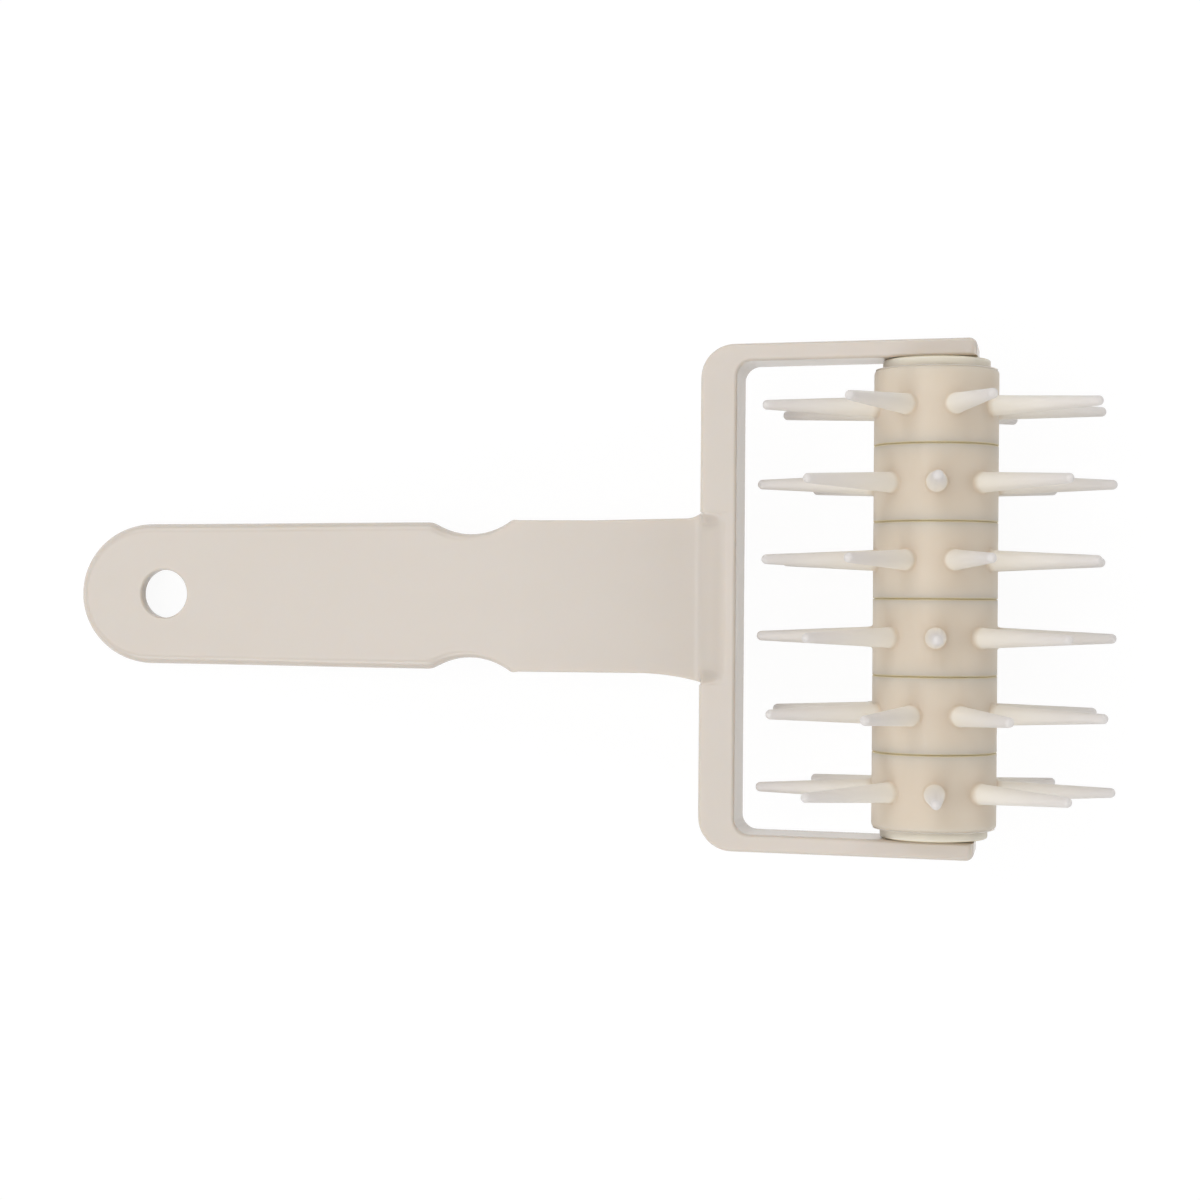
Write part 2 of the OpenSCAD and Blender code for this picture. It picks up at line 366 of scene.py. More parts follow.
# %% Flat grip and hang hole
HOLE_X = STRAP_END + 19.4
HOLE_R = 5.2
FLAT = 0.999

strips = pick("FACE", lambda face: abs(face.normal.z) > FLAT and face.calc_center_median().x < BEND * MM)
bpy.ops.mesh.dissolve_faces()
bpy.ops.object.mode_set(mode="OBJECT")
hole_middle = Vector((HOLE_X, 0, GRIP_Z)) * MM
bpy.ops.mesh.primitive_cylinder_add(vertices=96, radius=HOLE_R * MM, depth=20 * MM, location=hole_middle)
combine(handle, bpy.context.object, "DIFFERENCE")
print("strips dissolved:", strips)

# %% [markdown]
# The edges of a moulding are what makes it look moulded. The grip's edge is nearly a full round, so
# that it is kind to the hand, it narrows along the notch, and the neck's edge is much crisper, as is
# the hang hole's upper rim. The hole's lower rim is round and shows as a soft line inside the hole.
# The shoulder, where a notch ends, has an upright edge of its own. A bevel modifier can do all this
# at once, because each edge carries its own bevel weight: 1 means the modifier's whole width. Along
# the notch the weight eases from one width to the next, because a sudden change on a smooth curve
# would throw up a spike. An edge counts as lying at a place when it is within CLOSE of it.

# %% Round the handle's edges
GRIP_EDGE = 2.0
NOTCH_END_EDGE = 1.0
SHOULDER_EDGE = 0.6
NECK_EDGE = 0.5
HOLE_UPPER_EDGE = 0.5
HOLE_LOWER_EDGE = 2.0
CLOSE = 0.1
BAR_CLEAR = 0.07


def is_rim(edge):
    """Is this an edge between an upper or lower face and an outer wall?"""
    if len(edge.link_faces) != 2:
        return False
    steep = sorted(abs(face.normal.z) for face in edge.link_faces)
    return steep[0] < 0.5 < steep[1]


def weigh(piece, width_of):
    """Gives each edge the bevel weight of the width that a rule asks for at its place."""
    mesh = piece.data
    weights = mesh.attributes.new("bevel_weight_edge", "FLOAT", "EDGE")
    shape = bmesh.new()
    shape.from_mesh(mesh)
    for edge in shape.edges:
        middle = (edge.verts[0].co + edge.verts[1].co) / 2 / MM
        weights.data[edge.index].value = width_of(edge, middle) / GRIP_EDGE
    shape.free()


def handle_edge_width(edge, middle):
    """The rounding of one edge of the handle in millimetres. The edges inside the bar get none."""
    at_shoulder = abs(middle.x - shoulder_x) < CLOSE / 2 and abs(middle.y) > END_HALF - CLOSE
    if at_shoulder and edge.calc_length() > (STRAP - CLOSE) * MM:
        return SHOULDER_EDGE
    if not is_rim(edge) or middle.x > BAR_BACK - BAR_CLEAR:
        return 0
    if (middle.xy - Vector((HOLE_X, 0))).length < HOLE_R + CLOSE:
        return HOLE_UPPER_EDGE if middle.z > GRIP_Z else HOLE_LOWER_EDGE
    if middle.x > shoulder_x:
        return NECK_EDGE
    from_notch = Vector((middle.x - NOTCH[0], NOTCH[1] - abs(middle.y)))
    if from_notch.length > NOTCH_R + CLOSE:
        return GRIP_EDGE
    turn = -math.degrees(math.atan2(from_notch.y, from_notch.x))
    share = (turn - palm_turn + 180) / (shoulder_turn - palm_turn + 180)
    return GRIP_EDGE - (GRIP_EDGE - NOTCH_END_EDGE) * share * share * (3 - 2 * share)


def bevel_by_weight(piece, segments):
    """Rounds a piece's edges, each by its own weight."""
    step = piece.modifiers.new("soft edges", "BEVEL")
    step.width = GRIP_EDGE * MM
    step.limit_method = "WEIGHT"
    step.segments = segments
    step.use_clamp_overlap = False
    finish_modifiers(piece)


weigh(handle, handle_edge_width)
bevel_by_weight(handle, 6)
print("handle faces with their soft edges:", len(handle.data.polygons))

# %% [markdown]
# The hollow has no hard corners: its floor swings up to the bar's top at both sides as well as in
# front. The floor is cut into narrow strips there, and the strips are lifted along a soft S, nearly
# to the top. At the bar's back the lift fades out into the neck. The loft's outermost vertices stay
# below the top, inside the bar.

# %% Soft sides of the hollow
HOLLOW_MIDDLE = -0.2
HOLLOW_HALF = 17.8
SIDE_RUN = 3.0
SIDE_ROWS = 10
SIDE_INSET = 0.04
BACK_REACH = 0.8
BACK_FADE = 0.7
FLOOR_DEPTH = 0.6
BRIM = 6.99
BURIED_BRIM = 6.2


def soft_step(share):
    """A share of 0 to 1, eased at both ends."""
    share = min(1, max(0, share))
    return share * share * (3 - 2 * share)


def in_floor(face):
    """Is this a face of the hollow's floor?"""
    return face.calc_center_median().x > (BAR_BACK - BACK_REACH) * MM and face.normal.z > 0.1


edit(handle)
for row in range(SIDE_ROWS + 1):
    out = HOLLOW_HALF - SIDE_INSET - SIDE_RUN * row / SIDE_ROWS
    for y in (HOLLOW_MIDDLE + out, HOLLOW_MIDDLE - out):
        pick("FACE", in_floor)
        bpy.ops.mesh.bisect(plane_co=(0, y * MM, 0), plane_no=(0, 1, 0))
shape = bmesh.from_edit_mesh(handle.data)
for vertex in shape.verts:
    x, y, z = vertex.co / MM
    if x > BAR_BACK - BACK_REACH and z > top_of(x) - FLOOR_DEPTH:
        out = abs(y - HOLLOW_MIDDLE)
        across = soft_step((out - HOLLOW_HALF + SIDE_INSET) / SIDE_RUN + 1)
        along = soft_step((x - BAR_BACK + BACK_FADE) / (2 * BACK_FADE))
        highest = BRIM if out < HOLLOW_HALF - SIDE_INSET / 2 else BURIED_BRIM
        vertex.co.z = min(highest, z + (BRIM - top_of(x)) * across * along) * MM
bmesh.update_edit_mesh(handle.data)
bpy.ops.object.mode_set(mode="OBJECT")
print("handle faces with the hollow's strips:", len(handle.data.polygons))

# %% [markdown]
# ## The yoke
#
# The bar and the arms are one flat shape seen from above, 14 mm high: a bar with round corners and
# two arms that stand half a millimetre further apart at their ends. That is an outline, drawn once
# and extruded. The arms' inner faces are 49 mm from the middle beside the axle.

# %% Yoke outline
ARM_INSIDE = 49
ARM_WALL = 3.6
ARM_SPLAY = 0.55
BAR_FRONT = -40.2
ARM_END = 8.4
INNER_CORNER_R = 3.2
OUTER_CORNER_R = 7
ARM_CORNER_R = 1.6

root_out = ARM_INSIDE + ARM_WALL + ARM_SPLAY * BAR_FRONT / (ARM_END - BAR_FRONT)
end_out = root_out + ARM_SPLAY
half_outline = (
    [(BAR_FRONT, 0, 0)]
    + arc(BAR_FRONT + INNER_CORNER_R, root_out - ARM_WALL - INNER_CORNER_R, INNER_CORNER_R, 180, 90, 8)
    + [(ARM_END, end_out - ARM_WALL, 0)]
    + arc(ARM_END - ARM_CORNER_R, end_out - ARM_CORNER_R, ARM_CORNER_R, 0, 90, 7)
    + arc(BAR_BACK + OUTER_CORNER_R, root_out - OUTER_CORNER_R, OUTER_CORNER_R, 90, 180, 14)
)
other_half = [(x, -y, 0) for x, y, _ in reversed(half_outline[1:])]
yoke = draw("yoke", [(x, y, -YOKE_TOP) for x, y, _ in half_outline + other_half])
bpy.ops.mesh.extrude_region_move(TRANSFORM_OT_translate={"value": (0, 0, 2 * YOKE_TOP * MM)})
bpy.ops.mesh.select_all(action="SELECT")
bpy.ops.mesh.normals_make_consistent(inside=False)
bpy.ops.object.mode_set(mode="OBJECT")
print("yoke box in mm:", [round(d / MM, 1) for d in yoke.dimensions])

# %% [markdown]
# The handle's hollow needs room in the bar's top, so a block is cut out there first. After that the
# yoke's edges are rounded, most of all at the ends of the arms. Then the handle, the yoke and the two
# hidden journals, on which the roller turns, become one solid, as they are one moulding.

# %% Cut, soften and join
POCKET_X = -45.4
POCKET_Z = 3.72
POCKET_LENGTH = 6.6
POCKET_HEIGHT = 8.55
YOKE_EDGE = 0.7
ARM_END_EDGE = 1.3
JOURNAL_R = 3
JOURNAL = 6.3

bpy.ops.mesh.primitive_cube_add(
    size=MM, location=Vector((POCKET_X, HOLLOW_MIDDLE, POCKET_Z)) * MM,
    scale=(POCKET_LENGTH, 2 * HOLLOW_HALF, POCKET_HEIGHT))
combine(yoke, bpy.context.object, "DIFFERENCE")


def yoke_edge_width(edge, middle):
    """The rounding of one edge of the yoke in millimetres. The pocket's edges get none."""
    beside_pocket = abs(middle.y - HOLLOW_MIDDLE) < HOLLOW_HALF + CLOSE
    before_pocket = middle.x < POCKET_X + POCKET_LENGTH / 2 + CLOSE
    over_pocket = middle.z > POCKET_Z - POCKET_HEIGHT / 2 - CLOSE
    if not is_rim(edge) or (beside_pocket and before_pocket and over_pocket):
        return 0
    return ARM_END_EDGE if middle.x > ARM_END - ARM_CORNER_R - CLOSE else YOKE_EDGE


weigh(yoke, yoke_edge_width)
bevel_by_weight(yoke, 4)
combine(handle, yoke, "UNION")
journal_middle = ARM_INSIDE + ARM_WALL / 2 - JOURNAL / 2
for side in (-1, 1):
    bpy.ops.mesh.primitive_cylinder_add(
        vertices=64, radius=JOURNAL_R * MM, depth=JOURNAL * MM, rotation=(math.radians(90), 0, 0),
        location=Vector((0, side * journal_middle, 0)) * MM)
    combine(handle, bpy.context.object, "UNION")
print("frame faces:", len(handle.data.polygons))

# %% [markdown]
# A flat face next to a round edge only looks flat if the flat face decides which way its corners
# point. The weighted normal modifier does that: each corner's normal follows the largest face there.
# Lines that turn by more than 35 degrees stay crisp, such as the line where the neck meets the bar.

# %% Shade and place the frame
CRISP_TURN = math.radians(35)
FLAT_WEIGHT = 80


def shade(piece):
    """Shades a piece smooth, with its flat faces flat and its sharpest lines crisp."""
    choose(piece)
    bpy.ops.object.shade_smooth_by_angle(angle=CRISP_TURN)
    step = piece.modifiers.new("flat faces rule", "WEIGHTED_NORMAL")
    step.keep_sharp = True
    step.weight = FLAT_WEIGHT
    finish_modifiers(piece)


lay_down(handle)
shade(handle)
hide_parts("frame_handle")
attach(handle, "frame")
print("frame box in mm:", [round(d / MM, 1) for d in handle.dimensions])

# %% [markdown]
# ## One ring, as a spun section
#
# A ring is the same all the way round, apart from its pins. So its wall is drawn once as a section,
# seen as if the ring were cut, and spun round the axle. The section's two ends touch the next rings
# near the bore and stand back 0.06 mm at the rim, which leaves the fine seams of the photograph. In
# its middle a parting line stands up by a few hundredths, where the two halves of the mould met.

# %% Ring section
DRUM_R = 12.65
BORE_R = 7.53
HALF_PITCH = 7.8
SEAM_HALF = 0.06
SEAM_FLOOR_R = 12.35
PARTING_HALF = 0.16
PARTING_HEIGHT = 0.05
WALL_ROWS = (2.6, 5.2)
RING_SEGMENTS = 120


def half_section(edge_radius):
    """One half of a ring's wall in millimetres, from the parting line to the bore."""
    rim = HALF_PITCH - SEAM_HALF
    wall = [(DRUM_R, y, 0) for y in (PARTING_HALF, *WALL_ROWS)]
    corner = arc(DRUM_R - edge_radius, rim - edge_radius, edge_radius, 0, 90, 5)
    seam = [(SEAM_FLOOR_R, rim, 0), (SEAM_FLOOR_R, HALF_PITCH, 0), (BORE_R, HALF_PITCH, 0)]
    return wall + corner + seam


def spin_section(name, points, steps):
    """Draws a section beside the Y axis, spins it once round the axis and closes the seam."""
    piece = draw(name, points)
    bpy.ops.mesh.delete(type="ONLY_FACE")
    bpy.ops.mesh.select_all(action="SELECT")
    bpy.ops.mesh.spin(steps=steps, angle=2 * math.pi, center=(0, 0, 0), axis=(0, 1, 0))
    bpy.ops.mesh.select_all(action="SELECT")
    bpy.ops.mesh.remove_doubles(threshold=0.001 * MM)
    bpy.ops.mesh.delete_loose(use_verts=True, use_edges=True, use_faces=False)
    bpy.ops.mesh.select_all(action="SELECT")
    bpy.ops.mesh.normals_make_consistent(inside=False)
    bpy.ops.object.mode_set(mode="OBJECT")
    return piece


def spun_drum(name, near_radius, far_radius):
    """A ring's drum with one rounding on its +Y edge and another on its -Y edge."""
    near = half_section(near_radius)
    far = [(x, -y, 0) for x, y, _ in reversed(half_section(far_radius))]
    return spin_section(name, near + far + [(DRUM_R + PARTING_HEIGHT, 0, 0)], RING_SEGMENTS)


print("a ring's wall is", round(DRUM_R - BORE_R, 2), "mm thick and", 2 * HALF_PITCH, "mm wide")

# %% [markdown]
# ## The pins
#
# A pin is a slim cone with a round tip, spun round its own axis. Where it grows out of the drum the
# mould left a fillet of half a millimetre. The drum is round, so that fillet can't end in a flat
# circle: its lowest rows are let down onto the drum, by as much as the drum's surface falls away
# beside the pin. Higher up, from 0.6 to 2.1 mm, the letting down fades out. The pin's foot is sunk
# into the drum's wall, where it doesn't show.

# %% One pin
PIN_REACH = 36.4
ROOT_R = 2.1
TIP_R = 1.0
FILLET = 0.5
FILLET_TURNS = (18, 36, 54, 72, 90)
CONE_ROWS = (2, 6, 11, 16, 20)
SUNK = 3
SKIRT = 0.03
FADE_START = 0.6
FADE_LENGTH = 1.5
PIN_SEGMENTS = 32

tip_height = PIN_REACH - TIP_R - DRUM_R
lean = (ROOT_R - TIP_R) / tip_height
profile = [(0, -SUNK, 0), (ROOT_R + FILLET, -SUNK, 0), (ROOT_R + FILLET, -SKIRT, 0)]
for degrees in FILLET_TURNS:
    turn = math.radians(degrees)
    profile.append((ROOT_R + FILLET * (1 - math.sin(turn)), FILLET * (1 - math.cos(turn)), 0))
profile += [(ROOT_R - lean * height, height, 0) for height in CONE_ROWS]
profile += arc(0, tip_height, TIP_R, 0, 90, 7)
pin = spin_section("pin", profile, PIN_SEGMENTS)
edit(pin)
shape = bmesh.from_edit_mesh(pin.data)
for vertex in shape.verts:
    near_root = min(1, max(0, 1 - (vertex.co.y / MM - FADE_START) / FADE_LENGTH))
    fall = DRUM_R * MM - math.sqrt((DRUM_R * MM) ** 2 - vertex.co.x**2)
    vertex.co.y += DRUM_R * MM - near_root * fall
bmesh.update_edit_mesh(pin.data)
bpy.ops.object.mode_set(mode="OBJECT")
pin.rotation_euler = (math.radians(90), 0, 0)
apply_place(pin)
print("pin length over the drum in mm:", PIN_REACH - DRUM_R, "faces:", len(pin.data.polygons))

# %% [markdown]
# A ring and its eight pins are one moulding, so they become one solid. Two are made: one for the four
# inner rings, and one with a larger rounding on one edge for the two at the ends.

# %% Drum and pins in one
PINS = 8
SEAM_EDGE = 0.15
FREE_EDGE = 0.9


def copy_of(piece, name):
    """A copy with its own mesh."""
    twin = piece.copy()
    twin.data = piece.data.copy()
    twin.name = name
    bpy.context.collection.objects.link(twin)
    return twin


def with_pins(drum):
    """Joins eight pins to a drum."""
    for k in range(PINS):
        one = copy_of(pin, "pin_copy")
        one.rotation_euler = (0, k * 2 * math.pi / PINS, 0)
        apply_place(one)
        combine(drum, one, "UNION")
    return drum


inner_ring = with_pins(spun_drum("inner_ring", SEAM_EDGE, SEAM_EDGE))
outer_ring = with_pins(spun_drum("outer_ring", FREE_EDGE, SEAM_EDGE))
print("faces in a ring with its pins:", len(inner_ring.data.polygons))

# %% [markdown]
# ## Six rings on one roller
#
# The rings sit side by side on a tube. Neighbours are turned against each other by about a third of
# the gap between two pins, so that the pins of one ring stand between those of the next, and one of
# them was pushed on a little askew. The two end rings have a larger rounding on their free edge, so
# they come from the other drum, and the lower one is that drum turned round.

# %% Rings in place
RING_TURNS = [9, -7.6, 9, -7.6, 15, -7.6]
LAST = len(RING_TURNS) - 1
rings = []
for i, turn in enumerate(RING_TURNS):
    ring = copy_of(outer_ring if i in (0, LAST) else inner_ring, f"docker_ring_{i + 1}")
    if i == LAST:
        ring.rotation_euler = (0, 0, math.pi)
        apply_place(ring)
    ring.rotation_euler = (0, math.radians(turn), 0)
    ring.location = AXLE + Vector((0, (LAST / 2 - i) * 2 * HALF_PITCH * MM, 0))
    apply_place(ring)
    shade(ring)
    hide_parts(f"pin_ring_{i + 1}")
    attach(ring, "roller")
    rings.append(ring)
for pattern in (inner_ring, outer_ring, pin):
    bpy.data.objects.remove(pattern)
print("triangles in a ring:", sum(len(f.vertices) - 2 for f in rings[0].data.polygons))

# %% [markdown]
# ## The end caps
#
# Each cap is a flange with a spigot that sits in the tube and a blind bore that turns on the arm's
# journal. Only the flange's rim shows, between the arm and the first ring, and its outer edge is
# rounded. A cap's section is drawn like a ring's, from the flange's outer face to the spigot's end.

# %% End caps
CAP_R = 10.9
FLANGE = 1.9
FLANGE_EDGE = 0.5
FLANGE_BREAK = 0.15
CAP_BORE_R = 3.05
CAP_BORE_DEPTH = 5.2
SPIGOT_R = 5.47
SPIGOT_END = 8.9
SPIGOT_BREAK = 0.3

cap_section = [(CAP_BORE_R, 0, 0)] + arc(CAP_R - FLANGE_EDGE, FLANGE_EDGE, FLANGE_EDGE, -90, 0, 5)
cap_section += [(CAP_R, FLANGE - FLANGE_BREAK, 0), (CAP_R - FLANGE_BREAK, FLANGE, 0)]
cap_section += [(SPIGOT_R, FLANGE, 0), (SPIGOT_R, SPIGOT_END - SPIGOT_BREAK, 0)]
cap_section += [(SPIGOT_R - SPIGOT_BREAK, SPIGOT_END, 0), (0, SPIGOT_END, 0)]
cap_section += [(0, CAP_BORE_DEPTH, 0), (CAP_BORE_R, CAP_BORE_DEPTH, 0)]
rings_end = len(RING_TURNS) * HALF_PITCH
caps = []
for name, side in (("end_cap_upper", 1), ("end_cap_lower", -1)):
    cap = spin_section(f"docker_{name}", cap_section, RING_SEGMENTS)
    cap.rotation_euler = (0, 0, 0 if side < 0 else math.pi)
    cap.location = AXLE + Vector((0, side * (rings_end + FLANGE) * MM, 0))
    apply_place(cap)
    shade(cap)
    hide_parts(name)
    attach(cap, "roller")
    caps.append(cap)
print("cap box in mm:", [round(d / MM, 1) for d in caps[0].dimensions])

# %% [markdown]
# ## Materials
#
# Colours are written as sRGB hex, as they are read off a picture, and Blender's sockets want linear
# light, so one function turns one into the other. Another adds a node, sets its values and links it.


# %% Colour and node helpers
def linear(code):
    """An sRGB hex colour as linear red, green, blue and alpha."""
    channels = [int(code[i:i + 2], 16) / 255 for i in (1, 3, 5)]
    return [c / 12.92 if c <= 0.04045 else ((c + 0.055) / 1.055) ** 2.4 for c in channels] + [1]


def add_node(tree, kind, inputs=(), **settings):
    """Adds a node. An input is a value, or another node's output socket to link."""
    node = tree.nodes.new(kind)
    for name, value in settings.items():
        setattr(node, name, value)
    for name, value in dict(inputs).items():
        if isinstance(value, bpy.types.NodeSocket):
            tree.links.new(value, node.inputs[name])
        else:
            node.inputs[name].default_value = value
    return node


def new_material(name):
    """An empty node material, and its tree."""
    material = bpy.data.materials.new(name)
    material.use_nodes = True
    material.node_tree.nodes.clear()
    return material, material.node_tree


def wear(piece, material):
    """Gives a piece one material all over."""
    piece.data.materials.clear()
    piece.data.materials.append(material)


# %% [markdown]
# ### The frame: injection-moulded polypropylene
#
# Polypropylene without pigment is milky. A little light enters, scatters and comes out again a
# millimetre or two away, which softens every shadow line, so the shader gets some subsurface
# scattering. The mould was polished, but not to a mirror: the gloss is soft, with the faint waviness
# that shrinking leaves every few millimetres. Where the melt flowed along the handle the tint drifts
# by a hair, over some 4 cm. The skin's grain is half a millimetre, as coarse as it needs to show.

# %% Frame material
FLOW_SIZE = 38 * MM
FLOW_NARROWED = 2.2
RIPPLE_SIZE = 7 * MM
SKIN_SIZE = 0.5 * MM

polypropylene, tree = new_material("polypropylene_injection_moulded")
place = add_node(tree, "ShaderNodeTexCoord").outputs["Object"]
flow_place = add_node(tree, "ShaderNodeMapping", {"Vector": place, "Scale": (1, FLOW_NARROWED, 1)})
flow = add_node(tree, "ShaderNodeTexNoise", {
    "Vector": flow_place.outputs["Vector"], "Scale": 1 / FLOW_SIZE, "Detail": 2.0, "Roughness": 0.55})
tint = add_node(tree, "ShaderNodeMix", {
    "Factor": flow.outputs["Fac"], "A": linear("#D6CDC4"), "B": linear("#D3CABF")}, data_type="RGBA")
ripple = add_node(tree, "ShaderNodeTexNoise", {"Vector": place, "Scale": 1 / RIPPLE_SIZE, "Detail": 1.0})
grain = add_node(tree, "ShaderNodeTexNoise", {"Vector": place, "Scale": 1 / SKIN_SIZE, "Detail": 3.0})
gloss = add_node(tree, "ShaderNodeMapRange", {
    "Value": ripple.outputs["Fac"], "From Min": 0.3, "From Max": 0.7, "To Min": 0.22, "To Max": 0.24})
wavy = add_node(tree, "ShaderNodeBump", {
    "Height": ripple.outputs["Fac"], "Strength": 0.1, "Distance": 0.06 * MM})
skin = add_node(tree, "ShaderNodeBump", {
    "Height": grain.outputs["Fac"], "Strength": 0.08, "Distance": 0.01 * MM,
    "Normal": wavy.outputs["Normal"]})
shader = add_node(tree, "ShaderNodeBsdfPrincipled", {
    "Base Color": tint.outputs["Result"], "Roughness": gloss.outputs["Result"], "IOR": 1.49,
    "Normal": skin.outputs["Normal"], "Subsurface Weight": 0.6,
    "Subsurface Radius": (1.0, 0.8, 0.6), "Subsurface Scale": 2.0 * MM})
add_node(tree, "ShaderNodeOutputMaterial", {"Surface": shader.outputs["BSDF"]})
wear(handle, polypropylene)
wear(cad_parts["frame_handle"], polypropylene)
print(polypropylene.name, "has", len(tree.nodes), "nodes")

# %% [markdown]
# ### The rings: natural polyethylene
#
# The roller is of a softer, clearer plastic without pigment. Thick walls of it look like wax, a warm cream.
# Thin pins let so much light through that they look nearly white and cooler towards their tips. Their
# colour is partly the plastic's own pale tone and partly painted light: lighter at the root against the
# shade there, and darker towards the tip against its highlights. In the seams between the rings the light
# that comes out has passed through a lot of it and is golden, and that golden glow is painted into the
# seams' colour. The end caps' rims are painted lighter than the drum against their shade, and their outer
# faces, close beside the arms, are painted warmer as a glow of light. The drum and the pins are told apart
# by the distance from the axle: the drum's tone ends at 12.7 mm and the pin's is reached at 14 mm. The
# seams come back every 15.6 mm along the axle, and the caps start beyond 46.8 mm on both sides.

# %% Ring material
CLOUD_SIZE = 9 * MM
WAX_GRAIN = 0.6 * MM
SEAM_GLOW = 0.4
LAST_SEAM = 40
DRUM_TONE_END = 12.7
PIN_TONE_START = 14.0
PIN_FOOT = 13
PIN_TIP = 36
COLLAR_START = 46.85
COLLAR_FACE = 48.5

polyethylene, tree = new_material("polyethylene_natural_moulded")
place = add_node(tree, "ShaderNodeTexCoord").outputs["Object"]
from_axle = add_node(tree, "ShaderNodeVectorMath", {0: place, 1: tuple(-AXLE)}, operation="ADD")
across = add_node(tree, "ShaderNodeVectorMath", {
    0: from_axle.outputs["Vector"], 1: (1, 0, 1)}, operation="MULTIPLY")
distance = add_node(tree, "ShaderNodeVectorMath", {0: across.outputs["Vector"]}, operation="LENGTH")
cloud = add_node(tree, "ShaderNodeTexNoise", {"Vector": place, "Scale": 1 / CLOUD_SIZE, "Detail": 2.0})
drum_tone = add_node(tree, "ShaderNodeMix", {
    "Factor": cloud.outputs["Fac"], "A": linear("#E0D4C3"), "B": linear("#DBCCB9")}, data_type="RGBA")
along = add_node(tree, "ShaderNodeSeparateXYZ", {"Vector": place}).outputs["Y"]
to_seam = add_node(tree, "ShaderNodeMath", {0: along, 1: HALF_PITCH * MM}, operation="PINGPONG")
in_gap = add_node(tree, "ShaderNodeMapRange", {
    "Value": to_seam.outputs["Value"], "From Min": (SEAM_HALF + 0.05) * MM,
    "From Max": SEAM_GLOW * MM, "To Min": 1.0, "To Max": 0.0})
from_middle = add_node(tree, "ShaderNodeMath", {0: along}, operation="ABSOLUTE").outputs["Value"]
between_rings = add_node(tree, "ShaderNodeMath", {
    0: from_middle, 1: LAST_SEAM * MM}, operation="LESS_THAN")
painted_seam_glow = add_node(tree, "ShaderNodeMath", {
    0: in_gap.outputs["Result"], 1: between_rings.outputs["Value"]}, operation="MULTIPLY")
painted_collar_light = add_node(tree, "ShaderNodeMath", {
    0: from_middle, 1: COLLAR_START * MM}, operation="GREATER_THAN")
painted_face_glow = add_node(tree, "ShaderNodeMath", {
    0: from_middle, 1: COLLAR_FACE * MM}, operation="GREATER_THAN")
# Painted light: the seams' golden tint is a painted glow, the collar's lighter tone is painted light
# against its shade, and the caps' warm outer face is a painted glow.
for where, colour in ((painted_seam_glow, "#EED6A2"), (painted_collar_light, "#F6E3CB"), (painted_face_glow, "#DDCBAA")):
    drum_tone = add_node(tree, "ShaderNodeMix", {
        "Factor": where.outputs["Value"], "A": drum_tone.outputs["Result"],
        "B": linear(colour)}, data_type="RGBA")
# Painted light: the pins' near-white is partly their own pale plastic and partly painted light passing
# through them, lighter at the root against the shade there and darker at the tip against its highlights.
along_pin = add_node(tree, "ShaderNodeMapRange", {
    "Value": distance.outputs["Value"], "From Min": PIN_FOOT * MM, "From Max": PIN_TIP * MM})
pin_painted_light = add_node(tree, "ShaderNodeMix", {
    "Factor": along_pin.outputs["Result"], "A": linear("#F0E8DC"),
    "B": linear("#D1CBC8")}, data_type="RGBA")
off_drum = add_node(tree, "ShaderNodeMapRange", {
    "Value": distance.outputs["Value"], "From Min": DRUM_TONE_END * MM,
    "From Max": PIN_TONE_START * MM})
tone = add_node(tree, "ShaderNodeMix", {
    "Factor": off_drum.outputs["Result"], "A": drum_tone.outputs["Result"],
    "B": pin_painted_light.outputs["Result"]}, data_type="RGBA")
grain = add_node(tree, "ShaderNodeTexNoise", {"Vector": place, "Scale": 1 / WAX_GRAIN, "Detail": 2.0})
skin = add_node(tree, "ShaderNodeBump", {
    "Height": grain.outputs["Fac"], "Strength": 0.1, "Distance": 0.012 * MM})
shader = add_node(tree, "ShaderNodeBsdfPrincipled", {
    "Base Color": tone.outputs["Result"], "Roughness": 0.52, "IOR": 1.51,
    "Normal": skin.outputs["Normal"], "Subsurface Weight": 0.9,
    "Subsurface Radius": (1.0, 0.95, 0.88), "Subsurface Scale": 6.0 * MM})
add_node(tree, "ShaderNodeOutputMaterial", {"Surface": shader.outputs["BSDF"]})
for piece in rings + caps:
    wear(piece, polyethylene)
for name, cad_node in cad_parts.items():
    if name.startswith(("pin_ring", "end_cap")):
        wear(cad_node, polyethylene)
print(polyethylene.name, "has", len(tree.nodes), "nodes")

# %% [markdown]
# ### The core: extruded tube
#
# The tube inside the rings is hidden, and its solid is already right, so it keeps the CAD's shape. An
# extruded tube is matt, with fine lines along its length: a noise that is drawn out fifty times.

# %% Core material
LINE_SPACING = 0.4 * MM
DRAWN_OUT = 0.02

tube_plastic, tree = new_material("polyethylene_extruded_tube")
place = add_node(tree, "ShaderNodeTexCoord").outputs["Object"]
stretched = add_node(tree, "ShaderNodeMapping", {"Vector": place, "Scale": (1, DRAWN_OUT, 1)})
lines = add_node(tree, "ShaderNodeTexNoise", {
    "Vector": stretched.outputs["Vector"], "Scale": 1 / LINE_SPACING, "Detail": 2.0})
tint = add_node(tree, "ShaderNodeMix", {
    "Factor": lines.outputs["Fac"], "A": linear("#C9B79C"), "B": linear("#C2AF92")}, data_type="RGBA")
drawn = add_node(tree, "ShaderNodeBump", {
    "Height": lines.outputs["Fac"], "Strength": 0.3, "Distance": 0.03 * MM})
shader = add_node(tree, "ShaderNodeBsdfPrincipled", {
    "Base Color": tint.outputs["Result"], "Roughness": 0.6, "IOR": 1.51,
    "Normal": drawn.outputs["Normal"]})
add_node(tree, "ShaderNodeOutputMaterial", {"Surface": shader.outputs["BSDF"]})
wear(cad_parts["roller_core"], tube_plastic)
print(tube_plastic.name, "has", len(tree.nodes), "nodes")

